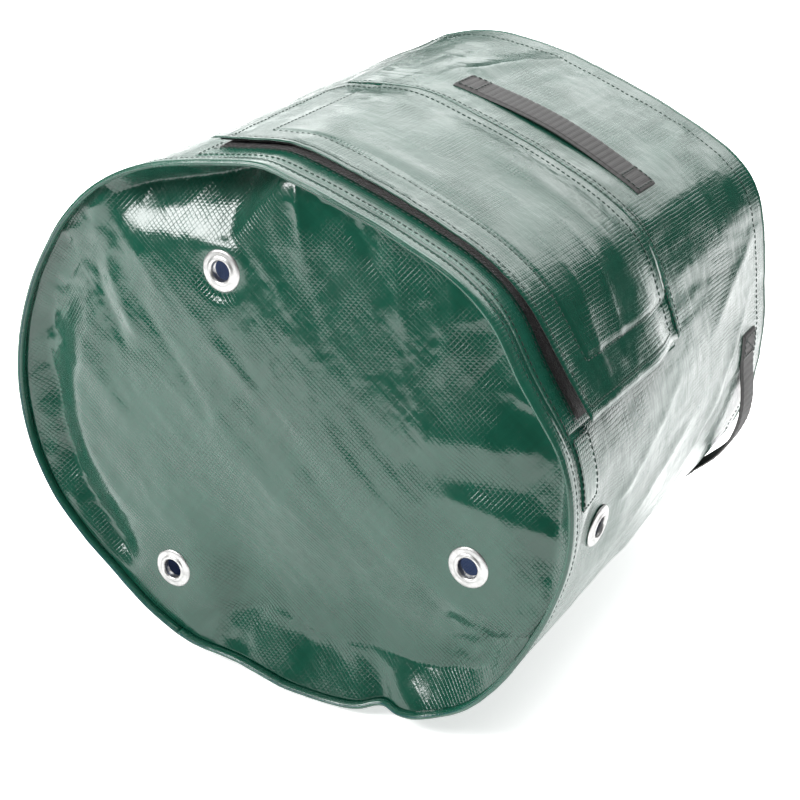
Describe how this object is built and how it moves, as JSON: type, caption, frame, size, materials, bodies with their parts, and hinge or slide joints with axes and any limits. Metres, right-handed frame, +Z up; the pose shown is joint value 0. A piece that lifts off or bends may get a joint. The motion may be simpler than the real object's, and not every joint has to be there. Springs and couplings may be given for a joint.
{
  "type": "fabric grow bag",
  "caption": "Round woven grow bag lying on its side, with a turn-up harvest flap, carrying straps, and drain eyelets in its base and sides.",
  "frame": {"origin": "centre of the bag's footprint on the surface it lies on: box centre in X and Y, lowest point in Z", "axes": "+Z up as it lies on its side; +Y from the base to the open mouth; +X to the right seen from the base. Turned +90 degrees about X it stands on its base"},
  "size_m": [0.368, 0.333, 0.3295],
  "materials": {
    "tarp_green": "glossy laminated woven polyethylene, dark bottle green",
    "webbing_black": "matt ribbed webbing",
    "hook_loop_black": "matt hook and loop tape",
    "eyelet_metal": "bright rolled eyelet"
  },
  "bodies": {
    "bag": {"side_wall": "tarp_green", "base_panel": "tarp_green", "base_hem": "tarp_green", "mouth_hem": "tarp_green", "side_seam": "tarp_green", "window_facing": "tarp_green", "loop_tape_near": "hook_loop_black", "loop_tape_left": "hook_loop_black", "loop_tape_right": "hook_loop_black", "flap_hinge": "tarp_green", "top_strap": "webbing_black", "handle_right_upper_end": "webbing_black", "handle_right_lower_end": "webbing_black", "handle_left_upper_end": "webbing_black", "handle_left_lower_end": "webbing_black", "eyelet_base_1": "eyelet_metal", "eyelet_base_2": "eyelet_metal", "eyelet_base_3": "eyelet_metal", "eyelet_side_right": "eyelet_metal", "eyelet_side_left": "eyelet_metal", "washer_base_1": "eyelet_metal", "washer_base_2": "eyelet_metal", "washer_base_3": "eyelet_metal", "washer_side_right": "eyelet_metal", "washer_side_left": "eyelet_metal"},
    "flap": {"flap_panel": "tarp_green", "hook_tape_near": "hook_loop_black", "hook_tape_left": "hook_loop_black", "hook_tape_right": "hook_loop_black"},
    "handle_right": {"handle_right": "webbing_black"},
    "handle_left": {"handle_left": "webbing_black"}
  },
  "joints": [
    {"name": "flap_turn_up", "type": "hinge", "parent": "bag", "child": "flap", "pos_m": [0.08243, 0.0025, 0.31123], "axis": [-0.9078, 0, 0.4194], "range_deg": [0, 100]},
    {"name": "handle_right_swing", "type": "hinge", "parent": "bag", "child": "handle_right", "pos_m": [0.15946, 0.1315, 0.10283], "axis": [-0.398, 0, -0.9174], "range_deg": [-20, 20]},
    {"name": "handle_left_swing", "type": "hinge", "parent": "bag", "child": "handle_left", "pos_m": [-0.13403, 0.1315, 0.26255], "axis": [0.6818, 0, 0.7315], "range_deg": [-20, 20]}
  ]
}
